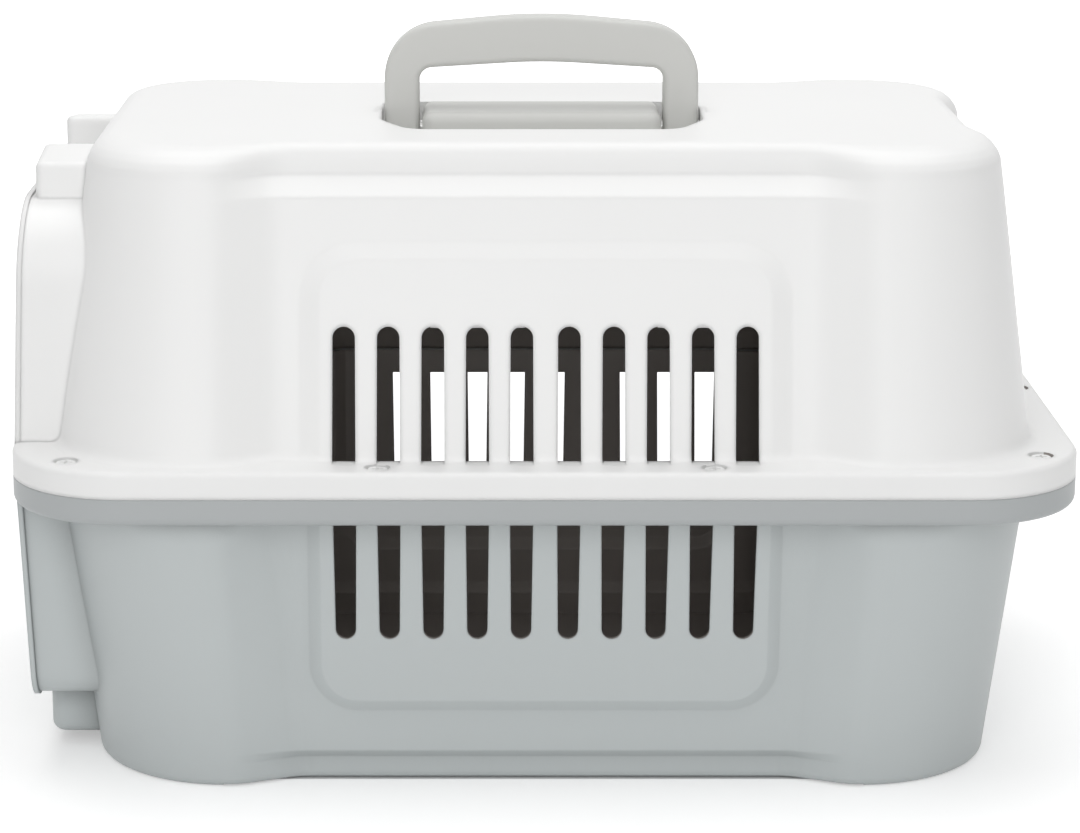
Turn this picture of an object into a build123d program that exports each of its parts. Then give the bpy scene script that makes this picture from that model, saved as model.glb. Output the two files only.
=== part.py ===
# Hard plastic cat carrier: a white upper shell and a grey lower shell bolted together
# round a wide rim, a recessed grille door at the front end and a carrying handle that
# folds into the roof. X runs along the length with the door at -X, Y across the width,
# Z up. The origin is on the floor under the middle of the base. All sizes in mm.
# Left and right are as seen by someone facing the door, so left is +Y.
from build123d import *
import os
from math import atan, cos, hypot, pi, radians, sin, tan

os.makedirs("parts", exist_ok=True)

# Rim where the two shells meet
rim_length = 480.0
rim_width = 320.0
rim_corner = 54.0
seam_z = 143.0
upper_rim_height = 12.0
lower_rim_height = 12.3
rim_plate = 3.4
upper_rim_round = 2.4
lower_rim_skirt = 4.2
lower_rim_round = 3.4
wall = 2.6

# Upper shell: height, lean of its walls and the rounded edge of its roof
roof_z = 290.5
roof_shoulder_z = 277.0
band_z = 268.0
upper_end_x = 221.2
upper_side_y = 150.0
upper_waist_y = 135.5
upper_end_lean = 0.117
upper_side_lean = 0.248
upper_waist_lean = 0.228
roof_edge_end = 13.0
roof_edge_side = 20.0
roof_edge_waist = 9.0
roof_edge_waist_power = 1.7
roof_edge_steps = 6
roof_band_waist = 7.0
foot_round = 4.5
upper_foot_corner = 62.0
upper_top_corner = 48.0
roof_corner = 37.0

# Lower shell
base_band_z = 15.5
base_step_z = 11.5
lower_end_x = 220.6
lower_side_y = 149.0
lower_waist_y = 133.7
lower_end_lean = 0.097
lower_side_lean = 0.12
lower_waist_lean = 0.052
base_waist_depth = 10.2
lower_corner = 62.0
base_corner = 64.0
base_round = 4.2
relief_height = 1.2
relief_inner_y = 108.0

# Long shallow recess in each side and in the rear end of both shells
waist_half_flat = 120.0
waist_half_full = 146.0
lower_waist_narrowing = 0.065
waist_blend = 24.0
rear_half_flat = 42.0
rear_half_full = 60.0
rear_depth = 7.0
rear_roof_depth = 2.5
rear_blend = 16.0

# Raised panel that carries the air slots
panel_half = 100.5
panel_rise = 3.2
panel_corner = 17.0
upper_panel_z = 241.0
upper_panel_bevel = 8.5
lower_panel_z = 41.0
lower_panel_bevel = 5.5

# Air slots
slot_count = 10
slot_pitch = 19.7
slot_middle_gap = 21.0
upper_slot_foot = 10.4
upper_slot_tip = 10.0
upper_slot_z = 213.0
lower_slot_foot = 10.4
lower_slot_tip = 9.1
lower_slot_z = 71.0
upper_slot_sink = 0.6
lower_slot_rise = 0.3
slot_reach = 2.0

# Door surround that stands out from the front end of both shells
portal_front = 240.0
portal_half = 104.5
portal_draft = 2.4
portal_lip_out = 1.2
portal_lip_thickness = 2.4
portal_top_z = 261.5
portal_top_corner = 34.0
portal_bottom_z = 32.8
portal_bottom_corner = 12.0
portal_depth = 50.0
well_half = 76.5
well_top_z = 258.0
well_bottom_z = 40.5
well_corner = 4.0
well_depth = 216.0
ledge_width = 6.0

# Ears above the door and sill below it, which take the ends of the door bolts
ear_inner_y = 40.0
ear_outer_y = 75.0
ear_front = 230.5
ear_inner_z = 281.5
ear_outer_z = 277.5
ear_round = 3.0
sill_half = 78.0
sill_front = 231.0
sill_bottom_z = 6.2
sill_corner = 7.0
sill_round = 5.0
socket_boss = 9.4
socket_depth = 8.5
socket_floor = 2.0

# Rim bolts, washers and nuts
bolt_side_x = 74.0
bolt_side_inset = 10.5
bolt_rear_inset = 9.0
bolt_corner_inset = 12.6
front_corner_angle = 50.7
rear_corner_angle = 32.6
bolt_diameter = 4.0
bolt_clearance = 0.4
thread_clearance = 0.05
bolt_head_diameter = 9.0
bolt_head_height = 1.8
bolt_head_round = 0.6
bolt_recess_diameter = 11.0
bolt_recess_depth = 2.4
bolt_boss_diameter = 14.2
bolt_tail = 1.2
washer_thickness = 0.8
rim_washer_diameter = 9.0
nut_across_flats = 7.0
nut_height = 3.2
driver_width = 1.1
driver_length = 5.2
driver_depth = 1.0

# Carrying handle
handle_half = 74.0
handle_inner_half = 57.5
handle_top_z = 336.7
handle_corner_z = 329.9
handle_corner = 26.0
handle_inner_top_z = 314.5
handle_inner_corner_z = 311.0
handle_inner_corner = 6.0
handle_crown = 260.0
handle_thickness = 14.0
handle_edge_round = 2.4
pivot_z = 282.6
pivot_diameter = 6.0
pivot_clearance = 0.08
seat_clearance = 0.02

# Pocket in the roof that the handle folds into, with a lug outside each leg
pocket_floor_z = 273.4
pocket_side_gap = 1.0
pocket_far_y = 25.0
pocket_near_y = 59.0
pocket_near_half = 62.0
pocket_bend_y = 31.0
pocket_far_corner = 6.0
pocket_bend_corner = 22.0
pocket_near_corner = 14.0
lug_thickness = 3.0
lug_length = 18.0
lug_rise = 0.8
lug_corner = 3.6

# Fixed block between the legs of the handle
block_gap = 1.5
block_half_y = 21.0
block_top_z = 292.0
block_corner = 5.0
block_top_round = 4.4
block_wall = 3.0
block_end_wall = 14.0
post_diameter = 9.0
screw_x = 34.0
screw_y = 11.0
screw_diameter = 4.0
screw_length = 12.0
screw_head_diameter = 8.0
screw_head_height = 2.4
block_washer_diameter = 11.0
pin_block_depth = 12.0
pin_lug_depth = 1.6

# Door
door_gap = 2.5
stile_width = 13.0
stile_front = 231.5
stile_back = 218.5
stile_round = 3.4
rail_height = 12.0
rail_front = 230.0
rail_back = 222.5
rail_round = 1.4
grille_bar_count = 8
grille_bar_width = 4.2
grille_bar_front = 229.0
grille_bar_back = 224.0
cross_bar_count = 3
cross_bar_height = 4.2
cross_bar_front = 227.6
stop_gap = 0.3
stop_half = 58.0

# Spring bolts inside the door's stiles, which are also its hinge pins
bolt_axis_x = 225.0
door_bolt_diameter = 5.0
door_bolt_clearance = 0.1
door_bolt_reach = 7.0
door_bolt_tip_round = 1.0
bolt_travel = 8.0
slide_width = 6.0
slide_length = 20.0
slide_front = 228.6
slide_back = 221.2
slide_clearance = 0.3
latch_half_gap = 13.0
thumb_width = 5.4
thumb_height = 7.0
thumb_front = 233.2
thumb_round = 1.2
cover_thickness = 2.4
cover_seat = 4.5
cover_clearance = 0.1

# Spring between the two bolts of a stile
spring_diameter = 4.8
spring_wire = 0.7
spring_turns = 6
spring_end_gap = 0.3

# Places and sizes worked out from the ones above
upper_rim_z = seam_z + upper_rim_height
lower_rim_z = seam_z - lower_rim_height
portal_lean = tan(radians(portal_draft))
door_half = well_half - door_gap
door_top_z = well_top_z - door_gap
door_bottom_z = well_bottom_z + door_gap
door_height = door_top_z - door_bottom_z
door_middle_z = (door_top_z + door_bottom_z) / 2
bolt_axis_y = door_half - stile_width / 2
socket_diameter = door_bolt_diameter + 2 * door_bolt_clearance
pivot_bore = pivot_diameter + 2 * pivot_clearance
pocket_half = handle_half + pocket_side_gap
block_half_x = handle_inner_half - block_gap
slot_places = [
    side * (slot_middle_gap / 2 + slot_pitch * step)
    for side in (-1, 1)
    for step in range(slot_count // 2)
]


def corner_place(along, across, angle):
    """Centre of a rim bolt on the rounded corner of the rim, at an angle from the X axis."""
    reach = rim_corner - bolt_corner_inset
    x = rim_length / 2 - rim_corner + reach * cos(radians(angle))
    y = rim_width / 2 - rim_corner + reach * sin(radians(angle))
    return (along * x, across * y)


side_bolt_y = rim_width / 2 - bolt_side_inset
bolt_places = [
    (bolt_side_x, side_bolt_y),
    (bolt_side_x, -side_bolt_y),
    (-bolt_side_x, side_bolt_y),
    (-bolt_side_x, -side_bolt_y),
    corner_place(-1, 1, front_corner_angle),
    corner_place(-1, -1, front_corner_angle),
    corner_place(1, 1, rear_corner_angle),
    corner_place(1, -1, rear_corner_angle),
    (rim_length / 2 - bolt_rear_inset, 0),
]
screw_places = [(x, y) for x in (-screw_x, screw_x) for y in (-screw_y, screw_y)]


def shell_section(z, end_x, side_y, waist_y, corner, rear_dent, narrowing=0.0):
    """Outline of a shell at one height: a rounded rectangle with its recessed sides and rear."""
    full = waist_half_full - narrowing
    flat = waist_half_flat - narrowing
    points = [
        (-end_x, -side_y),
        (-full, -side_y),
        (-flat, -waist_y),
        (flat, -waist_y),
        (full, -side_y),
        (end_x, -side_y),
        (end_x, -rear_half_full),
        (end_x - rear_dent, -rear_half_flat),
        (end_x - rear_dent, rear_half_flat),
        (end_x, rear_half_full),
        (end_x, side_y),
        (full, side_y),
        (flat, waist_y),
        (-flat, waist_y),
        (-full, side_y),
        (-end_x, side_y),
    ]
    side = [waist_blend] * 4
    back = [rear_blend] * 4
    radii = [corner] + side + [corner] + back + [corner] + side + [corner]
    with BuildSketch(Plane.XY.offset(z)) as section:
        with BuildLine():
            FilletPolyline(*points, radius=radii, close=True)
        make_face()
    return section.sketch


def upper_sections(inset, foot_z):
    """Outlines of the upper shell from foot_z to the roof, drawn in by inset."""

    def leaning(z, corner, waist_set_back=0.0):
        return shell_section(
            z,
            upper_end_x - upper_end_lean * (z - upper_rim_z) - inset,
            upper_side_y - upper_side_lean * (z - upper_rim_z) - inset,
            upper_waist_y - upper_waist_lean * (z - upper_rim_z) - inset - waist_set_back,
            corner - inset,
            rear_depth,
        )

    def rounded(step):
        turn = step / roof_edge_steps
        back = 1 - cos(turn * pi / 2)
        top_z = roof_z - inset
        shoulder = roof_shoulder_z - upper_rim_z
        end_x = upper_end_x - upper_end_lean * shoulder - inset
        side_y = upper_side_y - upper_side_lean * shoulder - inset
        waist_y = upper_waist_y - upper_waist_lean * shoulder - inset - roof_band_waist
        return shell_section(
            roof_shoulder_z + (top_z - roof_shoulder_z) * sin(turn * pi / 2),
            end_x - roof_edge_end * back,
            side_y - roof_edge_side * back,
            waist_y - roof_edge_waist * back**roof_edge_waist_power,
            upper_top_corner + (roof_corner - upper_top_corner) * back - inset,
            rear_depth + (rear_roof_depth - rear_depth) * back,
        )

    walls = [leaning(foot_z, upper_foot_corner), leaning(band_z, upper_top_corner)]
    return walls + [rounded(step) for step in range(roof_edge_steps + 1)]


def lower_sections(inset, top_z):
    """Outlines of the lower shell from top_z down to the floor, drawn in by inset."""

    def end_at(z):
        return lower_end_x - lower_end_lean * (lower_rim_z - z) - inset

    def side_at(z):
        return lower_side_y - lower_side_lean * (lower_rim_z - z) - inset

    def waist_at(z):
        return lower_waist_y - lower_waist_lean * (lower_rim_z - z) - inset

    def section_at(z, wall_z, waist_y, corner):
        narrowing = lower_waist_narrowing * (lower_rim_z - wall_z)
        return shell_section(
            z, end_at(wall_z), side_at(wall_z), waist_y, corner - inset, rear_depth, narrowing
        )

    band = base_band_z + inset
    step = base_step_z + inset
    base_waist = side_at(0) - base_waist_depth
    return [
        section_at(top_z, top_z, waist_at(top_z), lower_corner),
        section_at(band, band, waist_at(band), base_corner),
        section_at(step, step, base_waist, base_corner),
        section_at(inset, 0, base_waist, base_corner),
    ]


def wall_plane(wall_y, slope, z):
    """Plane on the near side wall at height z, its normal outwards and its local Y up the wall."""
    return Plane(origin=(0, -wall_y, z), x_dir=(1, 0, 0), z_dir=(0, -1, -slope))


def side_panels(wall_y, slope, rim_z, end_z, bevel, inset):
    """Raised panels of both sides, from behind the rim to their rounded end, drawn in by inset."""
    stretch = hypot(1, slope)
    way = 1 if end_z > rim_z else -1
    drawn_in = inset * tan(atan(panel_rise / bevel) / 2)
    face_end = abs(end_z - rim_z) * stretch - drawn_in
    hidden = upper_rim_height + lower_rim_height + panel_corner
    depth = panel_rise + wall / 2
    face_plane = wall_plane(wall_y, slope, rim_z).offset(panel_rise - inset)
    outlines = []
    for below in (0, depth):
        grow = bevel * below / panel_rise
        with BuildSketch(face_plane.offset(-below)) as outline:
            with Locations((0, way * (face_end + grow - hidden) / 2)):
                RectangleRounded(
                    2 * (panel_half - drawn_in + grow),
                    face_end + grow + hidden,
                    panel_corner - drawn_in + grow,
                )
        outlines.append(outline.sketch)
    with BuildPart() as panels:
        loft(sections=outlines, ruled=True)
        mirror(about=Plane.XZ)
    return panels.part


def slots(foot_z, foot_width, tip_z, tip_width, reach):
    """Upright slots through both side walls, out to reach, each with a round end at tip_z."""
    middle_z = tip_z - tip_width / 2 if tip_z > foot_z else tip_z + tip_width / 2
    with BuildPart() as cuts:
        with BuildSketch(Plane.XZ):
            for x in slot_places:
                left_tip = (x - tip_width / 2, middle_z)
                right_tip = (x + tip_width / 2, middle_z)
                with BuildLine():
                    Polyline(left_tip, (x - foot_width / 2, foot_z), (x + foot_width / 2, foot_z), right_tip)
                    ThreePointArc(right_tip, (x, tip_z), left_tip)
                make_face()
        extrude(amount=reach, both=True)
    return cuts.part


def surround_block(grow, set_back, thickness):
    """Block of the door surround: grown outwards, set back from its leaning face and this thick."""
    half = portal_half + grow
    top = portal_top_z + grow
    bottom = portal_bottom_z - grow
    front = []
    back = []
    for z in (bottom, seam_z, top):
        x = set_back - portal_front + portal_lean * abs(z - seam_z)
        front.append((x, z))
        back.append((x + thickness, z))
    low_corner = portal_bottom_corner + grow
    high_corner = portal_top_corner + grow
    with BuildPart() as block:
        with BuildSketch(Plane.YZ.offset(-portal_front)):
            with BuildLine():
                FilletPolyline(
                    (-half, bottom), (half, bottom), (half, top), (-half, top),
                    radius=[low_corner, low_corner, high_corner, high_corner],
                    close=True,
                )
            make_face()
        extrude(amount=2 * portal_depth)
        with BuildSketch(Plane.XZ):
            with BuildLine():
                Polyline(*front, *reversed(back), close=True)
            make_face()
        extrude(amount=2 * half, both=True, mode=Mode.INTERSECT)
    return block.part


def front_box(half_y, bottom_z, top_z, front_x, back_x, corner):
    """Block across the front end with rounded corners, as seen from the front."""
    with BuildPart() as box:
        with BuildSketch(Plane.YZ.offset(-front_x)):
            with Locations((0, (bottom_z + top_z) / 2)):
                RectangleRounded(2 * half_y, top_z - bottom_z, corner)
        extrude(amount=front_x - back_x)
    return box.part


# Solid bodies of the two shells and the spaces inside them
with BuildPart() as upper_body:
    loft(sections=upper_sections(0, seam_z), ruled=True)

with BuildPart() as upper_cavity:
    loft(sections=upper_sections(wall, seam_z - wall), ruled=True)

with BuildPart() as lower_body:
    loft(sections=lower_sections(0, seam_z), ruled=True)
    fillet(lower_body.faces().sort_by(Axis.Z)[0].edges(), base_round)

with BuildPart() as lower_cavity:
    loft(sections=lower_sections(wall, seam_z + wall), ruled=True)

# Shallow relief under the middle of each side, between the corners that the base stands on
with BuildPart() as base_reliefs:
    with BuildSketch(Plane.XY):
        for side in (-1, 1):
            with Locations((0, side * (relief_inner_y + rim_width / 2) / 2)):
                Rectangle(2 * waist_half_full, rim_width / 2 - relief_inner_y)
    extrude(amount=relief_height)

# Rims: a flat plate with a skirt, and bosses for the bolts in the upper one
with BuildPart() as upper_rim:
    with BuildSketch(Plane.XY.offset(seam_z)):
        RectangleRounded(rim_length, rim_width, rim_corner)
    extrude(amount=upper_rim_height)
    fillet(upper_rim.faces().sort_by(Axis.Z)[-1].edges(), upper_rim_round)
    with BuildSketch(Plane.XY.offset(seam_z)):
        RectangleRounded(rim_length - 2 * wall, rim_width - 2 * wall, rim_corner - wall)
        with Locations(*bolt_places):
            Circle(bolt_boss_diameter / 2, mode=Mode.SUBTRACT)
    extrude(amount=upper_rim_height - rim_plate, mode=Mode.SUBTRACT)

with BuildPart() as lower_rim:
    with BuildSketch(Plane.XY.offset(seam_z)):
        RectangleRounded(rim_length, rim_width, rim_corner)
    extrude(amount=-lower_rim_height)
    fillet(lower_rim.faces().sort_by(Axis.Z)[0].edges(), lower_rim_round)
    with BuildSketch(Plane.XY.offset(lower_rim_z)):
        RectangleRounded(
            rim_length - 2 * lower_rim_skirt,
            rim_width - 2 * lower_rim_skirt,
            rim_corner - lower_rim_skirt,
        )
    extrude(amount=lower_rim_height - rim_plate, mode=Mode.SUBTRACT)

# Door surround: the block of both shells, its hollow, and the well that holds the door
with BuildPart() as surround:
    add(surround_block(0, 0, portal_depth))
    add(surround_block(portal_lip_out, 0, portal_lip_thickness))

with BuildPart() as surround_hollow:
    add(surround_block(-wall, wall, portal_depth))
    add(upper_body.part, mode=Mode.SUBTRACT)
    add(lower_body.part, mode=Mode.SUBTRACT)
    add(
        front_box(
            well_half + wall, well_bottom_z - wall, well_top_z + wall,
            portal_front, portal_front - portal_depth, well_corner + wall,
        ),
        mode=Mode.SUBTRACT,
    )

with BuildPart() as well_tube:
    add(
        front_box(
            well_half + wall, well_bottom_z - wall, well_top_z + wall,
            portal_front - portal_depth / 4, well_depth - wall, well_corner + wall,
        )
    )

with BuildPart() as well:
    add(
        front_box(
            well_half, well_bottom_z, well_top_z, portal_front + wall, well_depth, well_corner
        )
    )
    add(
        front_box(
            well_half - ledge_width, well_bottom_z + ledge_width, well_top_z - ledge_width,
            portal_front, portal_front - portal_depth, well_corner,
        )
    )

# Ribs at the top and bottom of the well that the closed door rests against
with BuildPart() as door_stops:
    for z in (well_bottom_z + ledge_width / 2, well_top_z - ledge_width / 2):
        with BuildSketch(Plane.YZ.offset(-(rail_back - stop_gap))):
            with Locations((0, z)):
                Rectangle(2 * stop_half, ledge_width)
        extrude(amount=rail_back - stop_gap - well_depth + wall)

# Ears on top of the door surround, hollow but for the sockets of the door's upper bolts
with BuildPart() as ears:
    with BuildSketch(Plane.YZ.offset(-ear_front)):
        with BuildLine():
            Polyline(
                (ear_inner_y, well_top_z), (ear_outer_y, well_top_z),
                (ear_outer_y, ear_outer_z), (ear_inner_y, ear_inner_z), close=True,
            )
        make_face()
    extrude(amount=portal_depth)
    front_edges = ears.faces().sort_by(Axis.X)[0].edges().sort_by(Axis.Z)[1:]
    top_edges = ears.edges().filter_by(Axis.X).sort_by(Axis.Z)[2:]
    fillet(front_edges + top_edges, ear_round)
    mirror(about=Plane.XZ)

with BuildPart() as ear_hollows:
    with BuildSketch(Plane.YZ.offset(wall - ear_front)):
        with BuildLine():
            Polyline(
                (ear_inner_y + wall, portal_top_z), (ear_outer_y - wall, portal_top_z),
                (ear_outer_y - wall, ear_outer_z - wall), (ear_inner_y + wall, ear_inner_z - wall),
                close=True,
            )
        make_face()
    extrude(amount=portal_depth)
    mirror(about=Plane.XZ)

# Sill under the door surround, open below, with the sockets of the door's lower bolts
with BuildPart() as sill:
    with BuildSketch(Plane.XY.offset(sill_bottom_z)):
        with Locations((portal_depth / 2 - sill_front, 0)):
            RectangleRounded(portal_depth, 2 * sill_half, sill_corner)
    extrude(amount=well_bottom_z - sill_bottom_z)
    fillet(sill.faces().sort_by(Axis.Z)[0].edges(), sill_round)

with BuildPart() as sill_hollow:
    with BuildSketch(Plane.XY.offset(sill_bottom_z)):
        with Locations((portal_depth / 2 - sill_front, 0)):
            RectangleRounded(portal_depth - 2 * wall, 2 * (sill_half - wall), sill_corner - wall)
    extrude(amount=portal_bottom_z - wall - sill_bottom_z)
    add(lower_body.part, mode=Mode.SUBTRACT)


def bolt_sockets(way, seat_z, boss_length):
    """Bosses for the ends of the door bolts above (way 1) or below (way -1) the well, and their bores."""
    bosses = []
    bores = []
    for side in (-1, 1):
        seat = Plane(origin=(-bolt_axis_x, side * bolt_axis_y, seat_z), z_dir=(0, 0, way))
        with BuildPart() as boss:
            with BuildSketch(seat):
                Circle(socket_boss / 2)
            extrude(amount=boss_length)
        with BuildPart() as bore:
            with BuildSketch(seat.offset(-wall)):
                Circle(socket_diameter / 2)
            extrude(amount=wall + socket_depth)
        bosses.append(boss.part)
        bores.append(bore.part)
    return bosses, bores


# Pocket in the roof for the handle, with a lug outside each leg
def pocket_outline(grow):
    """Boat shaped outline of the pocket, grown outwards."""
    points = [
        (-pocket_half - grow, pocket_far_y + grow),
        (pocket_half + grow, pocket_far_y + grow),
        (pocket_half + grow, -pocket_bend_y),
        (pocket_near_half + grow, -pocket_near_y - grow),
        (-pocket_near_half - grow, -pocket_near_y - grow),
        (-pocket_half - grow, -pocket_bend_y),
    ]
    far = pocket_far_corner + grow
    bend = pocket_bend_corner + grow
    near = pocket_near_corner + grow
    with BuildSketch(Plane.XY.offset(pocket_floor_z)) as outline:
        with BuildLine():
            FilletPolyline(*points, radius=[far, far, bend, near, near, bend], close=True)
        make_face()
    return outline.sketch


with BuildPart() as pocket_walls:
    with BuildSketch(Plane.XY.offset(pocket_floor_z - wall)):
        add(pocket_outline(wall))
    extrude(amount=roof_z - pocket_floor_z)
    with BuildSketch(Plane.YZ.offset(pocket_half)):
        with Locations((0, roof_z + lug_rise - lug_length / 2)):
            RectangleRounded(lug_length, lug_length, lug_corner)
    extrude(amount=lug_thickness)
    mirror(about=Plane.YZ)

with BuildPart() as pocket:
    with BuildSketch(Plane.XY.offset(pocket_floor_z)):
        add(pocket_outline(0))
    extrude(amount=roof_z - pocket_floor_z + lug_rise)
    with BuildSketch(Plane.YZ.offset(-pocket_half - pin_lug_depth)):
        with Locations((0, pivot_z)):
            Circle(pivot_diameter / 2 + seat_clearance)
    extrude(amount=2 * (pocket_half + pin_lug_depth))
    with BuildSketch(Plane.XY.offset(pocket_floor_z - 2 * wall)):
        with Locations(*screw_places):
            Circle((screw_diameter + bolt_clearance) / 2)
    extrude(amount=3 * wall)

# Upper shell
upper_bosses, upper_bores = bolt_sockets(1, well_top_z, socket_depth + socket_floor)
upper_panels, upper_panel_hollows = [
    side_panels(upper_waist_y, -upper_waist_lean, upper_rim_z, upper_panel_z, upper_panel_bevel, inset)
    for inset in (0, wall)
]
upper_slots = slots(
    upper_rim_z - upper_slot_sink, upper_slot_foot, upper_slot_z, upper_slot_tip,
    upper_waist_y + panel_rise + foot_round + slot_reach,
)
with BuildPart() as upper_shell:
    add(upper_body.part)
    add(upper_rim.part)
    add(upper_panels)
    flange = upper_shell.faces().filter_by(Axis.Z).group_by(Axis.Z)[-2].face()
    fillet(flange.inner_wires()[0].edges(), foot_round)
    add(surround.part)
    add(ears.part)
    add(upper_cavity.part, mode=Mode.SUBTRACT)
    add(upper_panel_hollows, mode=Mode.SUBTRACT)
    add(surround_hollow.part, mode=Mode.SUBTRACT)
    add(ear_hollows.part, mode=Mode.SUBTRACT)
    add(well_tube.part)
    add(upper_bosses)
    add(well.part, mode=Mode.SUBTRACT)
    add(upper_bores, mode=Mode.SUBTRACT)
    add(door_stops.part)
    add(pocket_walls.part)
    add(pocket.part, mode=Mode.SUBTRACT)
    add(upper_slots, mode=Mode.SUBTRACT)
    split(bisect_by=Plane.XY.offset(seam_z), keep=Keep.TOP)
    with Locations(*[(x, y, upper_rim_z) for x, y in bolt_places]):
        CounterBoreHole(
            radius=(bolt_diameter + bolt_clearance) / 2,
            counter_bore_radius=bolt_recess_diameter / 2,
            counter_bore_depth=bolt_recess_depth,
            depth=upper_rim_height,
        )
upper_shell.part.label = "upper_shell"
export_step(upper_shell.part, "parts/upper_shell.step")

# Lower shell
lower_bosses, lower_bores = bolt_sockets(-1, well_bottom_z, socket_depth + socket_floor)
lower_panels, lower_panel_hollows = [
    side_panels(lower_waist_y, lower_waist_lean, lower_rim_z, lower_panel_z, lower_panel_bevel, inset)
    for inset in (0, wall)
]
lower_slots = slots(
    lower_rim_z + lower_slot_rise, lower_slot_foot, lower_slot_z, lower_slot_tip,
    lower_waist_y + panel_rise + slot_reach,
)
with BuildPart() as lower_shell:
    add(lower_body.part)
    add(lower_rim.part)
    add(lower_panels)
    add(surround.part)
    add(sill.part)
    add(lower_cavity.part, mode=Mode.SUBTRACT)
    add(lower_panel_hollows, mode=Mode.SUBTRACT)
    add(surround_hollow.part, mode=Mode.SUBTRACT)
    add(sill_hollow.part, mode=Mode.SUBTRACT)
    add(well_tube.part)
    add(lower_bosses)
    add(well.part, mode=Mode.SUBTRACT)
    add(lower_bores, mode=Mode.SUBTRACT)
    add(door_stops.part)
    add(base_reliefs.part, mode=Mode.SUBTRACT)
    add(lower_slots, mode=Mode.SUBTRACT)
    split(bisect_by=Plane.XY.offset(seam_z), keep=Keep.BOTTOM)
    with Locations(*[(x, y, seam_z) for x, y in bolt_places]):
        Hole(radius=(bolt_diameter + bolt_clearance) / 2, depth=2 * rim_plate)
lower_shell.part.label = "lower_shell"
export_step(lower_shell.part, "parts/lower_shell.step")

# Rim bolts, with a cross cut in each head, and their washers and nuts under the lower rim
bolt_seat_z = upper_rim_z - bolt_recess_depth
nut_seat_z = seam_z - rim_plate
nut_top_z = nut_seat_z - washer_thickness
bolt_end_z = nut_top_z - nut_height - bolt_tail

with BuildPart() as rim_bolts:
    with BuildSketch(Plane.XY.offset(bolt_seat_z)):
        with Locations(*bolt_places):
            Circle(bolt_head_diameter / 2)
    extrude(amount=bolt_head_height)
    fillet(rim_bolts.edges().group_by(Axis.Z)[-1], bolt_head_round)
    with BuildSketch(Plane.XY.offset(bolt_seat_z)):
        with Locations(*bolt_places):
            Circle(bolt_diameter / 2)
    extrude(amount=bolt_end_z - bolt_seat_z)
    with BuildSketch(Plane.XY.offset(bolt_seat_z + bolt_head_height)):
        with Locations(*bolt_places):
            Rectangle(driver_length, driver_width)
            Rectangle(driver_width, driver_length)
    extrude(amount=-driver_depth, mode=Mode.SUBTRACT)
rim_bolts.part.label = "rim_bolts"
export_step(rim_bolts.part, "parts/rim_bolts.step")

with BuildPart() as rim_washers:
    with BuildSketch(Plane.XY.offset(nut_top_z)):
        with Locations(*bolt_places):
            Circle(rim_washer_diameter / 2)
            Circle((bolt_diameter + bolt_clearance) / 2, mode=Mode.SUBTRACT)
    extrude(amount=washer_thickness)
rim_washers.part.label = "rim_washers"
export_step(rim_washers.part, "parts/rim_washers.step")

with BuildPart() as rim_nuts:
    with BuildSketch(Plane.XY.offset(nut_top_z)):
        with Locations(*bolt_places):
            RegularPolygon(nut_across_flats / 2, 6, major_radius=False)
            Circle(bolt_diameter / 2 + thread_clearance, mode=Mode.SUBTRACT)
    extrude(amount=-nut_height)
rim_nuts.part.label = "rim_nuts"
export_step(rim_nuts.part, "parts/rim_nuts.step")

# Door: two stiles, two rails and a grille, with a chamber in each stile for its bolts
slide_reach = latch_half_gap + slide_length
chamber_half = slide_reach + slide_clearance
chamber_front = slide_front + slide_clearance
chamber_width = slide_width + 2 * slide_clearance
cover_front = stile_back + cover_thickness
cover_half_height = chamber_half + cover_seat
stile_inner_y = bolt_axis_y - stile_width / 2
thumb_middle = latch_half_gap + slide_length / 2
thumb_slot_width = thumb_width + 2 * slide_clearance
thumb_slot_height = thumb_height + bolt_travel + 2 * slide_clearance
bar_pitch = 2 * stile_inner_y / (grille_bar_count + 1)
cross_pitch = (door_height - rail_height) / (cross_bar_count + 1)

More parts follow.
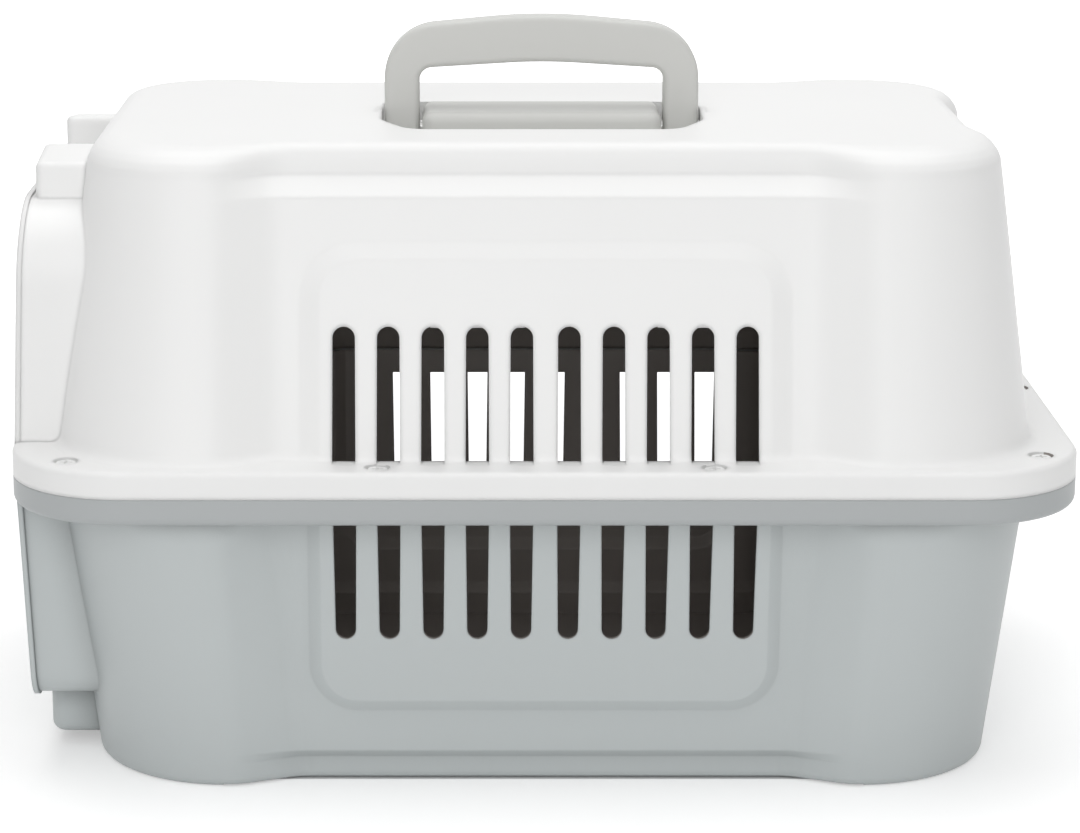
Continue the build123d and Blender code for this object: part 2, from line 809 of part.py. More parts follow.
with BuildPart() as door_panel:
    for side in (-1, 1):
        with BuildSketch(Plane.XY.offset(door_bottom_z)):
            with Locations((-(stile_front + stile_back) / 2, side * bolt_axis_y)):
                RectangleRounded(stile_front - stile_back, stile_width, stile_round)
        extrude(amount=door_height)
    for z in (door_bottom_z + rail_height / 2, door_top_z - rail_height / 2):
        with BuildSketch(Plane.XZ.offset(-stile_inner_y - stile_round)):
            with Locations((-(rail_front + rail_back) / 2, z)):
                RectangleRounded(rail_front - rail_back, rail_height, rail_round)
        extrude(amount=2 * (stile_inner_y + stile_round))
    for number in range(grille_bar_count):
        y = bar_pitch * (number + 1) - stile_inner_y
        with BuildSketch(Plane.XY.offset(door_bottom_z + rail_height / 2)):
            with Locations((-(grille_bar_front + grille_bar_back) / 2, y)):
                RectangleRounded(grille_bar_front - grille_bar_back, grille_bar_width, rail_round)
        extrude(amount=door_height - rail_height)
    for number in range(cross_bar_count):
        z = door_bottom_z + rail_height / 2 + cross_pitch * (number + 1)
        with BuildSketch(Plane.XZ.offset(-stile_inner_y - stile_round)):
            with Locations((-(cross_bar_front + grille_bar_back) / 2, z)):
                Rectangle(cross_bar_front - grille_bar_back, cross_bar_height)
        extrude(amount=2 * (stile_inner_y + stile_round))
    for side in (-1, 1):
        y = side * bolt_axis_y
        with BuildSketch(Plane.XY.offset(door_bottom_z)):
            with Locations((-bolt_axis_x, y)):
                Circle(socket_diameter / 2)
        extrude(amount=door_height, mode=Mode.SUBTRACT)
        with BuildSketch(Plane.YZ.offset(-chamber_front)):
            with Locations((y, door_middle_z)):
                Rectangle(chamber_width, 2 * chamber_half)
        extrude(amount=chamber_front - stile_back, mode=Mode.SUBTRACT)
        with BuildSketch(Plane.YZ.offset(-cover_front)):
            with Locations((y, door_middle_z)):
                Rectangle(chamber_width, 2 * cover_half_height)
        extrude(amount=cover_thickness, mode=Mode.SUBTRACT)
        for end in (-1, 1):
            with BuildSketch(Plane.YZ.offset(-stile_front)):
                with Locations((y, door_middle_z + end * (thumb_middle - bolt_travel / 2))):
                    Rectangle(thumb_slot_width, thumb_slot_height)
            extrude(amount=stile_front - slide_front, mode=Mode.SUBTRACT)
door_panel.part.label = "door_panel"
export_step(door_panel.part, "parts/door_panel.step")


def door_bolt(side, end, drawn):
    """Spring bolt of one stile: its slide with a thumb tab, and a rod that reaches out of the door."""
    start = Plane(
        origin=(-bolt_axis_x, side * bolt_axis_y, door_middle_z - end * drawn),
        x_dir=(1, 0, 0),
        z_dir=(0, 0, end),
    )
    with BuildPart() as bolt:
        with BuildSketch(start.offset(latch_half_gap)):
            with Locations((bolt_axis_x - (slide_front + slide_back) / 2, 0)):
                Rectangle(slide_front - slide_back, slide_width)
        extrude(amount=slide_length)
        with BuildSketch(start.offset(thumb_middle - thumb_height / 2)):
            with Locations((bolt_axis_x - (thumb_front + slide_back) / 2, 0)):
                Rectangle(thumb_front - slide_back, thumb_width)
        extrude(amount=thumb_height)
        fillet(bolt.faces().sort_by(Axis.X)[0].edges(), thumb_round)
        with BuildSketch(start.offset(latch_half_gap + slide_length / 2)):
            Circle(door_bolt_diameter / 2)
        extrude(amount=door_height / 2 + door_bolt_reach - latch_half_gap - slide_length / 2)
        fillet(bolt.edges().sort_by(Axis(start.origin, start.z_dir))[-1], door_bolt_tip_round)
    return bolt.part


# The bolts of the right stile are stored drawn back, so that the door can swing
bolt_ends = {"upper": 1, "lower": -1}
bolt_sides = {"left": (1, 0.0), "right": (-1, bolt_travel)}
for side_name, (side, drawn) in bolt_sides.items():
    for end_name, end in bolt_ends.items():
        bolt = door_bolt(side, end, drawn)
        bolt.label = f"door_bolt_{side_name}_{end_name}"
        export_step(bolt, f"parts/{bolt.label}.step")


def bolt_spring(side, drawn):
    """Coil spring between the two slides of a stile."""
    length = 2 * (latch_half_gap - drawn - spring_end_gap) - spring_wire
    middle = Plane(origin=(-bolt_axis_x, side * bolt_axis_y, door_middle_z))
    with BuildPart() as spring:
        with BuildLine(middle.offset(-length / 2)) as coil:
            Helix(
                pitch=length / spring_turns,
                height=length,
                radius=(spring_diameter - spring_wire) / 2,
            )
        with BuildSketch(Plane(origin=coil.line @ 0, z_dir=coil.line % 0)):
            Circle(spring_wire / 2)
        sweep()
    return spring.part


for side_name, (side, drawn) in bolt_sides.items():
    spring = bolt_spring(side, drawn)
    spring.label = f"bolt_spring_{side_name}"
    export_step(spring, f"parts/{spring.label}.step")

# Covers that close the chambers from inside
for side_name, side in {"left": 1, "right": -1}.items():
    with BuildPart() as cover:
        with BuildSketch(Plane.YZ.offset(-cover_front)):
            with Locations((side * bolt_axis_y, door_middle_z)):
                Rectangle(
                    chamber_width - 2 * cover_clearance,
                    2 * (cover_half_height - cover_clearance),
                )
        extrude(amount=cover_thickness)
    cover.part.label = f"bolt_cover_{side_name}"
    export_step(cover.part, f"parts/{cover.part.label}.step")

# Carrying handle, standing up
pivot_foot_z = pivot_z - handle_thickness / 2
with BuildPart() as carry_handle:
    with BuildSketch(Plane.XZ):
        with BuildLine():
            FilletPolyline(
                (-handle_half, pivot_foot_z),
                (-handle_half, handle_corner_z),
                (0, handle_top_z),
                (handle_half, handle_corner_z),
                (handle_half, pivot_foot_z),
                radius=[handle_corner, handle_crown, handle_corner],
            )
            Line((handle_half, pivot_foot_z), (handle_inner_half, pivot_foot_z))
            FilletPolyline(
                (handle_inner_half, pivot_foot_z),
                (handle_inner_half, handle_inner_corner_z),
                (0, handle_inner_top_z),
                (-handle_inner_half, handle_inner_corner_z),
                (-handle_inner_half, pivot_foot_z),
                radius=[handle_inner_corner, handle_crown, handle_inner_corner],
            )
            Line((-handle_inner_half, pivot_foot_z), (-handle_half, pivot_foot_z))
        make_face()
    extrude(amount=handle_thickness / 2, both=True)
    rims = carry_handle.faces().filter_by(Axis.Y).edges().filter_by(lambda e: e.center().Z > pivot_z)
    fillet(rims, handle_edge_round)
    with BuildSketch(Plane.YZ):
        with Locations((0, pivot_z)):
            Circle(handle_thickness / 2)
        with Locations((0, pivot_z + (handle_top_z - pivot_z) / 2)):
            Rectangle(handle_thickness, handle_top_z - pivot_z)
    extrude(amount=handle_half, both=True, mode=Mode.INTERSECT)
    with BuildSketch(Plane.YZ):
        with Locations((0, pivot_z)):
            Circle(pivot_bore / 2)
    extrude(amount=handle_half, both=True, mode=Mode.SUBTRACT)
carry_handle.part.label = "carry_handle"
export_step(carry_handle.part, "parts/carry_handle.step")

# Fixed block between the handle's legs: a shell with solid ends for the pins and screw posts
with BuildPart() as handle_base:
    with BuildSketch(Plane.XY.offset(pocket_floor_z)):
        RectangleRounded(2 * block_half_x, 2 * block_half_y, block_corner)
    extrude(amount=block_top_z - pocket_floor_z)
    fillet(handle_base.faces().sort_by(Axis.Z)[-1].edges(), block_top_round)
    with BuildSketch(Plane.XY.offset(pocket_floor_z)):
        Rectangle(2 * (block_half_x - block_end_wall), 2 * (block_half_y - block_wall))
        with Locations(*screw_places):
            Circle(post_diameter / 2, mode=Mode.SUBTRACT)
    extrude(amount=block_top_z - block_wall - pocket_floor_z, mode=Mode.SUBTRACT)
    with BuildSketch(Plane.XY.offset(pocket_floor_z)):
        with Locations(*screw_places):
            Circle(screw_diameter / 2 + thread_clearance)
    extrude(amount=screw_length - wall + bolt_clearance, mode=Mode.SUBTRACT)
    for way in (-1, 1):
        with BuildSketch(Plane.YZ.offset(way * (block_half_x - pin_block_depth))):
            with Locations((0, pivot_z)):
                Circle(pivot_diameter / 2 + seat_clearance)
        extrude(amount=way * pin_block_depth, mode=Mode.SUBTRACT)
handle_base.part.label = "handle_base"
export_step(handle_base.part, "parts/handle_base.step")

# Pins that the handle turns on, seated in the block and in the lugs
for name, way in {"front": -1, "rear": 1}.items():
    with BuildPart() as pin:
        with BuildSketch(Plane.YZ.offset(way * (block_half_x - pin_block_depth))):
            with Locations((0, pivot_z)):
                Circle(pivot_diameter / 2)
        extrude(amount=way * (pin_block_depth + pocket_half + pin_lug_depth - block_half_x))
    pin.part.label = f"handle_pin_{name}"
    export_step(pin.part, f"parts/{pin.part.label}.step")

# Screws and washers that hold the block from under the roof
washer_seat_z = pocket_floor_z - wall
screw_seat_z = washer_seat_z - washer_thickness
with BuildPart() as handle_base_washers:
    with BuildSketch(Plane.XY.offset(screw_seat_z)):
        with Locations(*screw_places):
            Circle(block_washer_diameter / 2)
            Circle((screw_diameter + bolt_clearance) / 2, mode=Mode.SUBTRACT)
    extrude(amount=washer_thickness)
handle_base_washers.part.label = "handle_base_washers"
export_step(handle_base_washers.part, "parts/handle_base_washers.step")

with BuildPart() as handle_base_screws:
    with BuildSketch(Plane.XY.offset(screw_seat_z - screw_head_height)):
        with Locations(*screw_places):
            Circle(screw_head_diameter / 2)
    extrude(amount=screw_head_height)
    fillet(handle_base_screws.edges().group_by(Axis.Z)[0], bolt_head_round)
    with BuildSketch(Plane.XY.offset(screw_seat_z)):
        with Locations(*screw_places):
            Circle(screw_diameter / 2)
    extrude(amount=screw_length)
    with BuildSketch(Plane.XY.offset(screw_seat_z - screw_head_height)):
        with Locations(*screw_places):
            Rectangle(driver_length, driver_width)
            Rectangle(driver_width, driver_length)
    extrude(amount=driver_depth, mode=Mode.SUBTRACT)
handle_base_screws.part.label = "handle_base_screws"
export_step(handle_base_screws.part, "parts/handle_base_screws.step")
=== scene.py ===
"""Looks of a two-part plastic cat carrier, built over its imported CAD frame."""

import bmesh
import bpy
from math import pi, radians
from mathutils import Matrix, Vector


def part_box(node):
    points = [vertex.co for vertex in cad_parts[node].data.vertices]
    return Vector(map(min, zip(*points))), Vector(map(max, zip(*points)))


bl_info = {
    "name": "Cat carrier finish",
    "version": (1, 0, 0),
    "blender": (4, 5, 0),
    "location": "3D View > Sidebar > Carrier",
    "description": "Gives a packed cat carrier its plastics, small fittings and studio stage",
    "category": "Object",
}

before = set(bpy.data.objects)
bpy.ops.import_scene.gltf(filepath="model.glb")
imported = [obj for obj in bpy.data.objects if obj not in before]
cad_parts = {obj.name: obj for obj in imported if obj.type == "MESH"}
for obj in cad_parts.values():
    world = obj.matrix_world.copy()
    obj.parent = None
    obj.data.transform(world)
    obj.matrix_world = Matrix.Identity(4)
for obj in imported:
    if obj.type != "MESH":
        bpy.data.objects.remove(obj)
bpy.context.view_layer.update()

# The photograph's frame in pixels, and the camera fitted to it
FRAME_WIDTH = 1080
FRAME_HEIGHT = 833
FOCAL_PIXELS = 3205.2
CENTRE_X_PIXEL = 478.7
CENTRE_Y_PIXEL = 412.7
SENSOR_MM = 36.0
NEAREST_SEEN = 0.05
FARTHEST_SEEN = 200.0

# Middle of the cabin at the seam, half its length, and the underside of the roof's pocket
CABIN_CENTRE = (0.0, 0.0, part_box("upper_shell")[0][2])
CABIN_HALF_LENGTH = 0.195
POCKET_WALL = 0.003
POCKET_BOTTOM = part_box("handle_base")[0][2] - POCKET_WALL

# How strongly a face looks towards the cabin's middle before it counts as inside and is painted
# with the darker inside shade, the power that keeps its sides short of the ends, and how far down
# a face looks to be ceiling
INSIDE_STARTS = -0.01
INSIDE_FULL = -0.02
END_POWER = 5.0
CEILING_TILT = -0.2

# Underside of the lower rim, and half the floor under the base between its corners, where
# the floor's glow is left out as painted contact shadow
RIM_BOTTOM = 0.1307
CONTACT_SHADE_HALF_LENGTH = 0.146
CONTACT_SHADE_HALF_WIDTH = 0.1228

# How softly light rolls round the edges of the smaller pieces
SMALL_EDGE = 0.0004
HANDLE_EDGE = 0.002
EDGE_SAMPLES = 4

# How far painted shade darkens the lower shell's colour around a crease, and its deepest tone
CREASE_SHADE_REACH = 0.015
CREASE_SHADE_TONE = 0.15
CREASE_SHADE_SAMPLES = 8

# Moulded plastic: its cloudy drift of colour, outside and inside, and its fine grain
CLOUD_SCALE = 9.0
OUTSIDE_DRIFT = 0.012
INSIDE_DRIFT = 0.05
GRAIN_DETAIL = 3.0
GRAIN_STRENGTH = 0.08
GRAIN_DEPTH = 0.1
GRAIN_SMOOTHER = 0.04
GRAIN_ROUGHER = 0.05
PLASTIC_IOR = 1.49

# Zinc-plated steel
STEEL_COLOUR = (0.58, 0.58, 0.57)
STEEL_CLOUD_SCALE = 220.0
STEEL_CLOUD_DETAIL = 3.0
STEEL_DRIFT = 0.08
STEEL_SMOOTHEST = 0.28
STEEL_ROUGHEST = 0.42

# Floor, and how far out it turns from its shaded colour to plain white
WHITE = (1, 1, 1, 1)
FLOOR_COLOUR = (0.9, 0.9, 0.9)
FLOOR_CLOUD_SCALE = 0.7
FLOOR_DRIFT = 0.004
FLOOR_ROUGHNESS = 0.9
FLOOR_CELLS = 8
WHITENING_STARTS = 0.4
WHITENING_ENDS = 1.3

# Light from all round, and the lamps: place, side in metres and watts
AMBIENT = 0.4
LAMP_TARGET = (0.0, 0.0, 0.15)
LAMPS = {
    "top_softbox": ((0.0, 0.1, 1.9), 1.8, 19.8),
    "front_softbox": ((-0.15, -2.2, 0.9), 1.6, 15.8),
}


class CarrierPlasticSettings(bpy.types.PropertyGroup):
    """Colours and surface of the carrier's plastics."""

    top_colour: bpy.props.FloatVectorProperty(
        name="Upper shell",
        description="Colour of the white upper shell",
        subtype="COLOR",
        size=3,
        default=(0.86, 0.86, 0.855),
    )
    base_colour: bpy.props.FloatVectorProperty(
        name="Lower shell",
        description="Colour of the grey lower shell",
        subtype="COLOR",
        size=3,
        default=(0.535, 0.57, 0.572),
    )
    rim_colour: bpy.props.FloatVectorProperty(
        name="Lower rim",
        description="Colour of the lower shell's rim, a shade deeper than its walls",
        subtype="COLOR",
        size=3,
        default=(0.42, 0.44, 0.445),
    )
    handle_colour: bpy.props.FloatVectorProperty(
        name="Handle",
        description="Colour of the handle and of its fixed block",
        subtype="COLOR",
        size=3,
        default=(0.6, 0.602, 0.58),
    )
    door_colour: bpy.props.FloatVectorProperty(
        name="Door",
        description="Colour of the grille door",
        subtype="COLOR",
        size=3,
        default=(0.535, 0.57, 0.572),
    )
    # Painted shade: a darker colour put on the inside faces of the cabin where shade falls
    inside_shade_colour: bpy.props.FloatVectorProperty(
        name="Inside",
        description="Darker colour painted as shade on the walls inside the cabin",
        subtype="COLOR",
        size=3,
        default=(0.32, 0.29, 0.27),
    )
    edge_softness: bpy.props.FloatProperty(
        name="Edge softness",
        description="Radius over which the light rolls round the edges of the shells",
        default=0.0035,
        min=0.0,
        max=0.02,
        subtype="DISTANCE",
        unit="LENGTH",
    )
    roughness: bpy.props.FloatProperty(
        name="Roughness",
        description="Roughness of the moulded surfaces",
        default=0.42,
        min=0.0,
        max=1.0,
        subtype="FACTOR",
    )
    grain_size: bpy.props.FloatProperty(
        name="Grain size",
        description="Size of the fine grain left by the mould",
        default=0.0007,
        min=0.0001,
        max=0.01,
        subtype="DISTANCE",
        unit="LENGTH",
    )


class CarrierStageSettings(bpy.types.PropertyGroup):
    """Camera, floor and lights."""

    camera_place: bpy.props.FloatVectorProperty(
        name="Camera place",
        description="Where the camera stands",
        subtype="TRANSLATION",
        unit="LENGTH",
        size=3,
        default=(-0.0296, -1.5086, 0.5189),
    )
    camera_pitch: bpy.props.FloatProperty(
        name="Camera pitch",
        description="How far the camera looks down",
        subtype="ANGLE",
        default=radians(14.01),
    )
    floor_size: bpy.props.FloatProperty(
        name="Floor size",
        description="Side of the square floor",
        subtype="DISTANCE",
        unit="LENGTH",
        default=60.0,
    )
    floor_glow: bpy.props.FloatProperty(
        name="Floor glow",
        description="White that the floor near the carrier shows to the camera over its lit colour",
        default=0.35,
        min=0.0,
        max=1.0,
    )


def new_material(name):
    """A material with an empty node tree but for its shader and output."""
    material = bpy.data.materials.new(name)
    material.use_nodes = True
    tree = material.node_tree
    shader = tree.nodes["Principled BSDF"]
    return material, tree, shader


def object_noise(tree, scale, detail=2.0):
    """Noise from 0 to 1 on the piece's own coordinates."""
    coords = tree.nodes.new("ShaderNodeTexCoord")
    noise = tree.nodes.new("ShaderNodeTexNoise")
    noise.inputs["Scale"].default_value = scale
    noise.inputs["Detail"].default_value = detail
    tree.links.new(coords.outputs["Object"], noise.inputs["Vector"])
    return noise.outputs["Fac"]


def spread(tree, source, low, high):
    """Maps a 0 to 1 value onto low to high."""
    spread_node = tree.nodes.new("ShaderNodeMapRange")
    spread_node.inputs["To Min"].default_value = low
    spread_node.inputs["To Max"].default_value = high
    tree.links.new(source, spread_node.inputs["Value"])
    return spread_node.outputs["Result"]


def feed(tree, socket, value):
    """Gives an input socket a constant, or links it to another node's output."""
    if isinstance(value, bpy.types.NodeSocket):
        tree.links.new(value, socket)
    else:
        socket.default_value = value


def blended(tree, factor, first, second, blend_type="MIX"):
    """Colour that goes from the first to the second as the factor goes from 0 to 1."""
    mix = tree.nodes.new("ShaderNodeMix")
    mix.data_type = "RGBA"
    mix.blend_type = blend_type
    for name, value in {"Factor": factor, "A": first, "B": second}.items():
        feed(tree, mix.inputs[name], value)
    return mix.outputs["Result"]


def tinted(tree, source, colour, drift):
    """Colour that drifts a little lighter and darker with the source value."""
    darker = (*[max(0.0, c * (1 - drift)) for c in colour], 1)
    lighter = (*[min(1.0, c * (1 + drift)) for c in colour], 1)
    return blended(tree, source, darker, lighter)


def math_node(tree, operation, *values):
    """Result of a Math node whose inputs are sockets or numbers."""
    node = tree.nodes.new("ShaderNodeMath")
    node.operation = operation
    for socket, value in zip(node.inputs, values):
        feed(tree, socket, value)
    return node.outputs["Value"]


def object_place(tree):
    """Object coordinates of a surface, as one node with an output for each axis."""
    coords = tree.nodes.new("ShaderNodeTexCoord")
    place = tree.nodes.new("ShaderNodeSeparateXYZ")
    tree.links.new(coords.outputs["Object"], place.inputs["Vector"])
    return place


def inside_shade_mask(tree):
    """1 on the walls, floor and roof inside the cabin, where the painted inside shade goes, and 0 on
    every outside face.
    """
    geometry = tree.nodes.new("ShaderNodeNewGeometry")
    coords = tree.nodes.new("ShaderNodeTexCoord")
    offset = tree.nodes.new("ShaderNodeVectorMath")
    offset.operation = "SUBTRACT"
    offset.inputs[1].default_value = CABIN_CENTRE
    apart = tree.nodes.new("ShaderNodeSeparateXYZ")
    towards = tree.nodes.new("ShaderNodeCombineXYZ")
    facing = tree.nodes.new("ShaderNodeVectorMath")
    facing.operation = "DOT_PRODUCT"
    looks_in = tree.nodes.new("ShaderNodeMapRange")
    looks_in.inputs["From Min"].default_value = INSIDE_STARTS
    looks_in.inputs["From Max"].default_value = INSIDE_FULL
    place = object_place(tree)
    normal = tree.nodes.new("ShaderNodeSeparateXYZ")
    tree.links.new(coords.outputs["Object"], offset.inputs[0])
    tree.links.new(geometry.outputs["True Normal"], normal.inputs["Vector"])
    tree.links.new(offset.outputs["Vector"], apart.inputs["Vector"])
    # Along X only the end walls are far enough out to count, and not the sides of the slots
    share = math_node(tree, "MULTIPLY", apart.outputs["X"], 1 / CABIN_HALF_LENGTH)
    steep = math_node(tree, "MULTIPLY", math_node(tree, "POWER", share, END_POWER), CABIN_HALF_LENGTH)
    tree.links.new(steep, towards.inputs["X"])
    tree.links.new(apart.outputs["Y"], towards.inputs["Y"])
    tree.links.new(apart.outputs["Z"], towards.inputs["Z"])
    tree.links.new(towards.outputs["Vector"], facing.inputs[0])
    tree.links.new(geometry.outputs["True Normal"], facing.inputs[1])
    tree.links.new(facing.outputs["Value"], looks_in.inputs["Value"])
    behind_door = math_node(tree, "GREATER_THAN", place.outputs["X"], -CABIN_HALF_LENGTH)
    below_pocket = math_node(tree, "LESS_THAN", place.outputs["Z"], POCKET_BOTTOM)
    ceiling = math_node(tree, "LESS_THAN", normal.outputs["Z"], CEILING_TILT)
    in_cabin = math_node(tree, "MAXIMUM", below_pocket, ceiling)
    inwards = math_node(tree, "MULTIPLY", looks_in.outputs["Result"], behind_door)
    return math_node(tree, "MULTIPLY", inwards, in_cabin)


def painted_crease_shade(tree, source):
    """Colour darkened with painted shade in the creases of its own piece."""
    crease = tree.nodes.new("ShaderNodeAmbientOcclusion")
    crease.only_local = True
    crease.samples = CREASE_SHADE_SAMPLES
    crease.inputs["Distance"].default_value = CREASE_SHADE_REACH
    shade = math_node(tree, "SUBTRACT", 1.0, crease.outputs["AO"])
    return blended(tree, shade, source, (CREASE_SHADE_TONE, CREASE_SHADE_TONE, CREASE_SHADE_TONE, 1), "MULTIPLY")


def moulded_plastic(name, colour, plastic, softness, has_inside_shade=False, rim_colour=None):
    """Fine satin plastic with soft edges; a shell can get painted shade on its inside faces, and its
    own colour on its rim together with painted shade in its creases.
    """
    material, tree, shader = new_material(name)
    cloud = object_noise(tree, CLOUD_SCALE)
    grain = object_noise(tree, 1.0 / plastic.grain_size, GRAIN_DETAIL)
    base = tinted(tree, cloud, colour, OUTSIDE_DRIFT)
    if rim_colour is not None:
        on_rim = math_node(tree, "GREATER_THAN", object_place(tree).outputs["Z"], RIM_BOTTOM)
        rim = tinted(tree, cloud, rim_colour, OUTSIDE_DRIFT)
        # Painted shade: the lower shell's colour is darkened in its creases
        base = painted_crease_shade(tree, blended(tree, on_rim, base, rim))
    if has_inside_shade:
        # Painted shade: the inside faces get the darker inside colour
        inside = tinted(tree, cloud, plastic.inside_shade_colour, INSIDE_DRIFT)
        base = blended(tree, inside_shade_mask(tree), base, inside)
    soft_edge = tree.nodes.new("ShaderNodeBevel")
    soft_edge.samples = EDGE_SAMPLES
    soft_edge.inputs["Radius"].default_value = softness
    bump = tree.nodes.new("ShaderNodeBump")
    bump.inputs["Strength"].default_value = GRAIN_STRENGTH
    bump.inputs["Distance"].default_value = plastic.grain_size * GRAIN_DEPTH
    tree.links.new(grain, bump.inputs["Height"])
    tree.links.new(soft_edge.outputs["Normal"], bump.inputs["Normal"])
    tree.links.new(bump.outputs["Normal"], shader.inputs["Normal"])
    tree.links.new(base, shader.inputs["Base Color"])
    smoothest = plastic.roughness - GRAIN_SMOOTHER
    roughest = plastic.roughness + GRAIN_ROUGHER
    tree.links.new(spread(tree, grain, smoothest, roughest), shader.inputs["Roughness"])
    shader.inputs["IOR"].default_value = PLASTIC_IOR
    return material


def zinc_steel(name):
    """Zinc-plated steel with a faint cloudy sheen."""
    material, tree, shader = new_material(name)
    cloud = object_noise(tree, STEEL_CLOUD_SCALE, STEEL_CLOUD_DETAIL)
    tree.links.new(tinted(tree, cloud, STEEL_COLOUR, STEEL_DRIFT), shader.inputs["Base Color"])
    tree.links.new(spread(tree, cloud, STEEL_SMOOTHEST, STEEL_ROUGHEST), shader.inputs["Roughness"])
    shader.inputs["Metallic"].default_value = 1.0
    return material


def paint(node, material):
    """Gives a CAD node its material."""
    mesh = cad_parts[node].data
    mesh.materials.clear()
    mesh.materials.append(material)


class CARRIER_OT_shells(bpy.types.Operator):
    """Give the two shells their moulded plastic, with painted shade on their insides and in the lower
    shell's creases.
    """

    bl_idname = "carrier.shells"
    bl_label = "Finish shells"

    def execute(self, context):
        plastic = context.scene.carrier_plastic
        top = moulded_plastic(
            "white_shell_plastic_with_painted_shade", plastic.top_colour, plastic, plastic.edge_softness, True
        )
        base = moulded_plastic(
            "grey_shell_plastic_with_painted_shade", plastic.base_colour, plastic, plastic.edge_softness / 2, True,
            plastic.rim_colour,
        )
        paint("upper_shell", top)
        paint("lower_shell", base)
        return {"FINISHED"}


class CARRIER_OT_door(bpy.types.Operator):
    """Give the door, its bolts, springs and covers their finishes."""

    bl_idname = "carrier.door"
    bl_label = "Finish door"

    def execute(self, context):
        plastic = context.scene.carrier_plastic
        door = moulded_plastic("door_plastic", plastic.door_colour, plastic, SMALL_EDGE)
        latch = moulded_plastic("latch_plastic", plastic.top_colour, plastic, SMALL_EDGE)
        steel = zinc_steel("spring_steel")
        for node in ("door_panel", "bolt_cover_left", "bolt_cover_right"):
            paint(node, door)
        for side in ("left", "right"):
            paint(f"bolt_spring_{side}", steel)
            for end in ("upper", "lower"):
                paint(f"door_bolt_{side}_{end}", latch)
        return {"FINISHED"}


class CARRIER_OT_handle(bpy.types.Operator):
    """Give the handle, its block, pins and screws their finishes."""

    bl_idname = "carrier.handle"
    bl_label = "Finish handle"

    def execute(self, context):
        plastic = context.scene.carrier_plastic
        grip = moulded_plastic("handle_plastic", plastic.handle_colour, plastic, HANDLE_EDGE)
        steel = zinc_steel("pin_steel")
        for node in ("carry_handle", "handle_base"):
            paint(node, grip)
        for part in ("pin_front", "pin_rear", "base_screws", "base_washers"):
            paint(f"handle_{part}", steel)
        return {"FINISHED"}


class CARRIER_OT_fasteners(bpy.types.Operator):
    """Give the rim's bolts, washers and nuts their finishes."""

    bl_idname = "carrier.fasteners"
    bl_label = "Finish fasteners"

    def execute(self, context):
        plastic = context.scene.carrier_plastic
        heads = moulded_plastic("bolt_head_coating", plastic.top_colour, plastic, SMALL_EDGE)
        steel = zinc_steel("nut_steel")
        paint("rim_bolts", heads)
        paint("rim_washers", steel)
        paint("rim_nuts", steel)
        return {"FINISHED"}


def seen_by_camera(tree):
    """1 for camera, glossy and transmission rays, and 0 for the light's own bounces."""
    path = tree.nodes.new("ShaderNodeLightPath")
    seen = math_node(tree, "MAXIMUM", path.outputs["Is Camera Ray"], path.outputs["Is Glossy Ray"])
    return math_node(tree, "MAXIMUM", seen, path.outputs["Is Transmission Ray"])


def add_lamp(name, place, side, power):
    """Square studio lamp that looks at the carrier."""
    lamp = bpy.data.lights.new(name, "AREA")
    lamp.shape = "SQUARE"
    lamp.size = side
    lamp.energy = power
    lamp_object = bpy.data.objects.new(name, lamp)
    lamp_object.location = place
    aim = Vector(LAMP_TARGET) - Vector(place)
    lamp_object.rotation_euler = aim.to_track_quat("-Z", "Y").to_euler()
    bpy.context.scene.collection.objects.link(lamp_object)


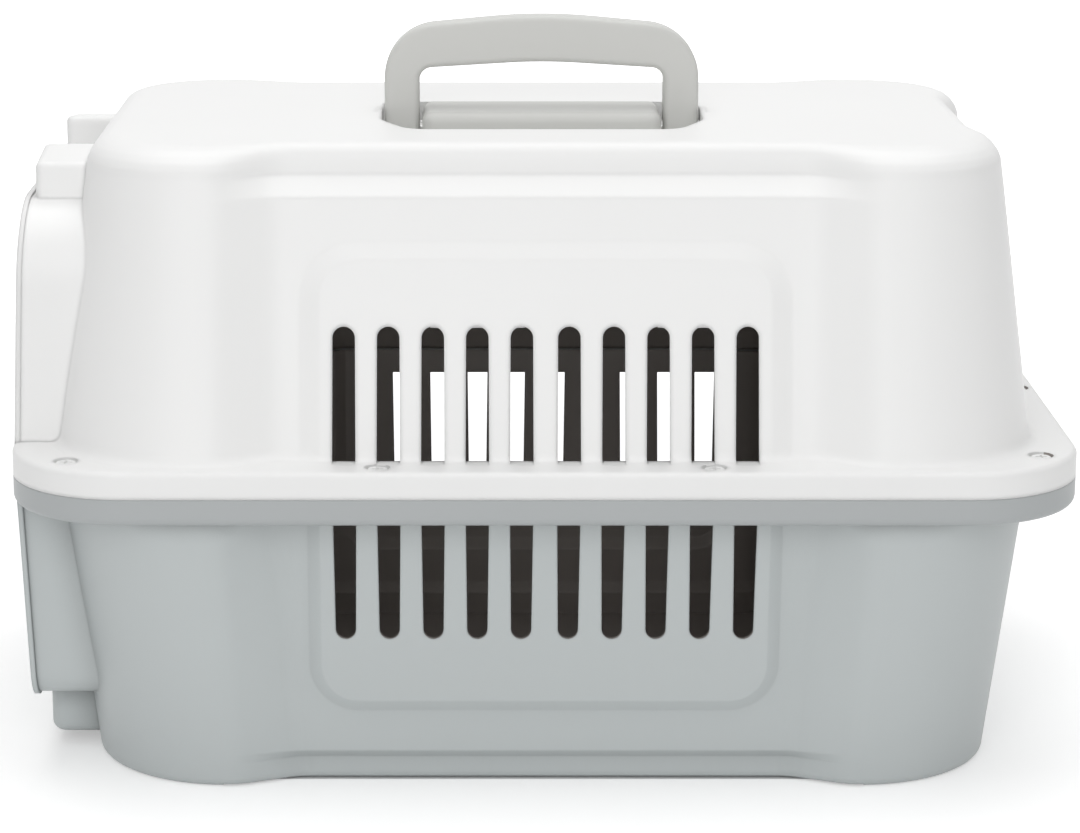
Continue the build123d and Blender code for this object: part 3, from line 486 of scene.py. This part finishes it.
class CARRIER_OT_stage(bpy.types.Operator):
    """Build the pale floor, the studio light and the camera."""

    bl_idname = "carrier.stage"
    bl_label = "Build stage"

    def execute(self, context):
        stage = context.scene.carrier_stage
        self.build_floor(stage)
        self.build_world(context)
        for name, (place, side, power) in LAMPS.items():
            add_lamp(name, place, side, power)
        self.build_camera(context, stage)
        context.scene.view_settings.view_transform = "Standard"
        return {"FINISHED"}

    def build_floor(self, stage):
        """Pale floor that shows white to the camera where nothing shades it, with painted contact
        shadow under the base, where it gets no glow.
        """
        material, tree, shader = new_material("pale_floor")
        cloud = object_noise(tree, FLOOR_CLOUD_SCALE)
        tree.links.new(tinted(tree, cloud, FLOOR_COLOUR, FLOOR_DRIFT), shader.inputs["Base Color"])
        shader.inputs["Roughness"].default_value = FLOOR_ROUGHNESS
        shader.inputs["Emission Color"].default_value = WHITE
        coords = tree.nodes.new("ShaderNodeTexCoord")
        distance = tree.nodes.new("ShaderNodeVectorMath")
        distance.operation = "LENGTH"
        whiten = tree.nodes.new("ShaderNodeMapRange")
        whiten.interpolation_type = "SMOOTHSTEP"
        whiten.inputs["From Min"].default_value = WHITENING_STARTS
        whiten.inputs["From Max"].default_value = WHITENING_ENDS
        whiten.inputs["To Min"].default_value = stage.floor_glow
        whiten.inputs["To Max"].default_value = 1.0
        tree.links.new(coords.outputs["Object"], distance.inputs[0])
        tree.links.new(distance.outputs["Value"], whiten.inputs["Value"])
        place = object_place(tree)
        # Painted contact shadow: under the base between its corners the floor gets no glow, so it
        # reads darker
        along = math_node(tree, "ABSOLUTE", place.outputs["X"])
        across = math_node(tree, "ABSOLUTE", place.outputs["Y"])
        past_end = math_node(tree, "GREATER_THAN", along, CONTACT_SHADE_HALF_LENGTH)
        past_side = math_node(tree, "GREATER_THAN", across, CONTACT_SHADE_HALF_WIDTH)
        outside_contact_shadow = math_node(tree, "MAXIMUM", past_end, past_side)
        shown = math_node(tree, "MULTIPLY", outside_contact_shadow, seen_by_camera(tree))
        glow = math_node(tree, "MULTIPLY", whiten.outputs["Result"], shown)
        tree.links.new(glow, shader.inputs["Emission Strength"])
        shape = bmesh.new()
        bmesh.ops.create_grid(
            shape, x_segments=FLOOR_CELLS, y_segments=FLOOR_CELLS, size=stage.floor_size / 2
        )
        mesh = bpy.data.meshes.new("floor")
        shape.to_mesh(mesh)
        shape.free()
        mesh.materials.append(material)
        floor = bpy.data.objects.new("floor", mesh)
        bpy.context.scene.collection.objects.link(floor)

    def build_world(self, context):
        """Even light all round, and white wherever the camera sees past the floor."""
        world = bpy.data.worlds.new("studio_world")
        world.use_nodes = True
        context.scene.world = world
        tree = world.node_tree
        background = tree.nodes["Background"]
        background.inputs["Color"].default_value = WHITE
        strength = spread(tree, seen_by_camera(tree), AMBIENT, 1.0)
        tree.links.new(strength, background.inputs["Strength"])

    def build_camera(self, context, stage):
        """Camera at the photograph's place, with its frame's centre shifted as there."""
        camera = bpy.data.cameras.new("photo_camera")
        camera.sensor_width = SENSOR_MM
        camera.lens = FOCAL_PIXELS * SENSOR_MM / FRAME_WIDTH
        camera.shift_x = (FRAME_WIDTH / 2 - CENTRE_X_PIXEL) / FRAME_WIDTH
        camera.shift_y = (CENTRE_Y_PIXEL - FRAME_HEIGHT / 2) / FRAME_WIDTH
        camera.clip_start = NEAREST_SEEN
        camera.clip_end = FARTHEST_SEEN
        camera_object = bpy.data.objects.new("photo_camera", camera)
        camera_object.location = stage.camera_place
        camera_object.rotation_euler = (pi / 2 - stage.camera_pitch, 0.0, 0.0)
        context.scene.collection.objects.link(camera_object)
        context.scene.camera = camera_object


class CARRIER_PT_panel(bpy.types.Panel):
    """Sidebar panel that lists the carrier's steps and settings."""

    bl_idname = "CARRIER_PT_panel"
    bl_label = "Cat carrier"
    bl_space_type = "VIEW_3D"
    bl_region_type = "UI"
    bl_category = "Carrier"

    def draw(self, context):
        layout = self.layout
        for settings in (context.scene.carrier_plastic, context.scene.carrier_stage):
            for name in settings.__annotations__:
                layout.prop(settings, name)
        for step in STEPS:
            layout.operator(step.bl_idname)


STEPS = (
    CARRIER_OT_shells,
    CARRIER_OT_door,
    CARRIER_OT_handle,
    CARRIER_OT_fasteners,
    CARRIER_OT_stage,
)
CLASSES = (CarrierPlasticSettings, CarrierStageSettings, *STEPS, CARRIER_PT_panel)


def register():
    for cls in CLASSES:
        bpy.utils.register_class(cls)
    bpy.types.Scene.carrier_plastic = bpy.props.PointerProperty(type=CarrierPlasticSettings)
    bpy.types.Scene.carrier_stage = bpy.props.PointerProperty(type=CarrierStageSettings)


def unregister():
    del bpy.types.Scene.carrier_stage
    del bpy.types.Scene.carrier_plastic
    for cls in reversed(CLASSES):
        bpy.utils.unregister_class(cls)


def main():
    register()
    for step in STEPS:
        group, name = step.bl_idname.split(".")
        getattr(getattr(bpy.ops, group), name)()


if __name__ == "__main__":
    main()
